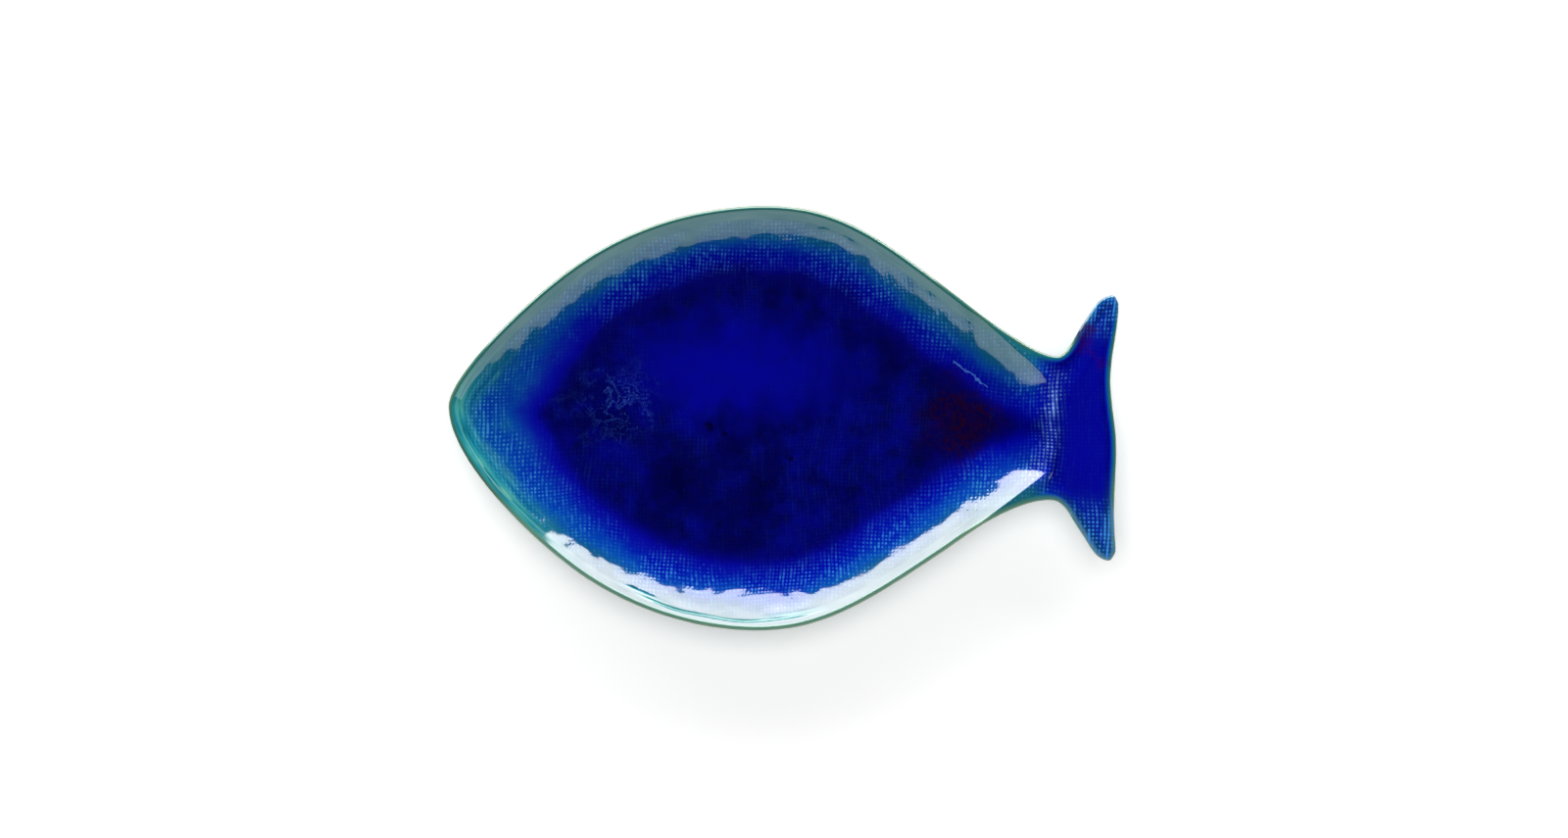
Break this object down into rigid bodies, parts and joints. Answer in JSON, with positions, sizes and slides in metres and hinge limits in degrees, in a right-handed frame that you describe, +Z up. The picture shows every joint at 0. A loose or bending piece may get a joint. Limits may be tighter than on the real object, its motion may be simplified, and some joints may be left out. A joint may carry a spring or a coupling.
{
  "type": "fish shaped serving platter",
  "caption": "Shallow fish shaped serving platter with a rounded lip, a sloping wall, a flat well, a fin shaped tail and a low foot ring.",
  "frame": {"origin": "middle of the overall length and width, on the table under the foot ring", "axes": "+X from nose to tail, +Y from belly to back, +Z up out of the dish"},
  "size_m": [0.43, 0.2726, 0.0327],
  "materials": {
    "stoneware": "matte fired clay",
    "bare_foot": "bare fired clay, wiped clean",
    "turquoise_glaze": "glossy reactive glaze over a linen imprint",
    "cobalt_glaze": "glossy, deep and slightly mottled",
    "underside_glaze": "glossy, thin"
  },
  "bodies": {
    "root": {"clay_body": "stoneware", "foot_ring": "bare_foot", "turquoise_glaze": "turquoise_glaze", "cobalt_pool": "cobalt_glaze", "tail_pool": "cobalt_glaze", "outer_glaze": "underside_glaze", "base_glaze": "underside_glaze"}
  },
  "joints": []
}
